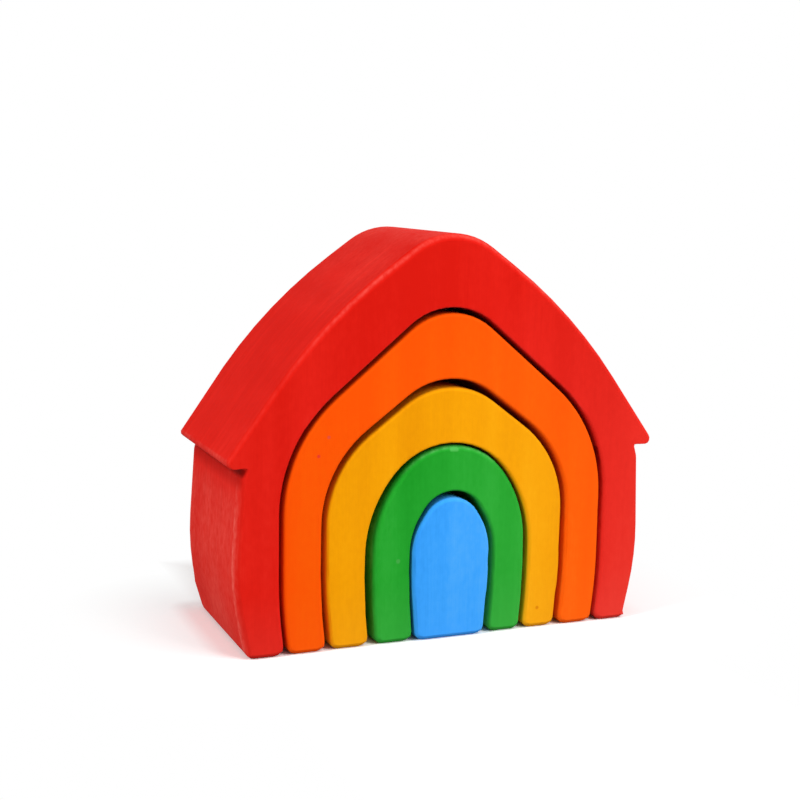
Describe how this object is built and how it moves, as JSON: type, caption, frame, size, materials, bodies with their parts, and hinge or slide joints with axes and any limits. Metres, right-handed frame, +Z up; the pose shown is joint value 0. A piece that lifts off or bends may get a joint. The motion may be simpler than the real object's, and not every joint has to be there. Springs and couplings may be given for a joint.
{
  "type": "wooden stacking house",
  "caption": "Stained wooden stacking house: a red house with eaves holds an orange, a yellow and a green arch and a blue door, nested on flat feet and pulled out front or back.",
  "frame": {"origin": "on the surface the pieces stand on, midway between the eave tips and midway from front to back", "axes": "+Z up towards the ridge, +X to the right across the front face, +Y from the front face to the back face"},
  "size_m": [0.1764, 0.073, 0.1566],
  "materials": {
    "red_stained_wood": "translucent red stain on sanded wood, matte to satin",
    "orange_stained_wood": "translucent orange stain on sanded wood, matte to satin",
    "yellow_stained_wood": "translucent yellow stain on sanded wood, matte to satin",
    "green_stained_wood": "translucent green stain on sanded wood, matte to satin",
    "blue_stained_wood": "translucent blue stain on sanded wood, matte to satin"
  },
  "bodies": {
    "house": {"red_house": "red_stained_wood"},
    "orange": {"orange_arch": "orange_stained_wood"},
    "yellow": {"yellow_arch": "yellow_stained_wood"},
    "green": {"green_arch": "green_stained_wood"},
    "blue": {"blue_door": "blue_stained_wood"}
  },
  "joints": [
    {"name": "orange_slide", "type": "slide", "parent": "house", "child": "orange", "axis": [0, -1, 0], "range_m": [-0.08, 0.08]},
    {"name": "yellow_slide", "type": "slide", "parent": "orange", "child": "yellow", "axis": [0, -1, 0], "range_m": [-0.08, 0.08]},
    {"name": "green_slide", "type": "slide", "parent": "yellow", "child": "green", "axis": [0, -1, 0], "range_m": [-0.08, 0.08]},
    {"name": "blue_slide", "type": "slide", "parent": "green", "child": "blue", "axis": [0, -1, 0], "range_m": [-0.08, 0.08]}
  ]
}
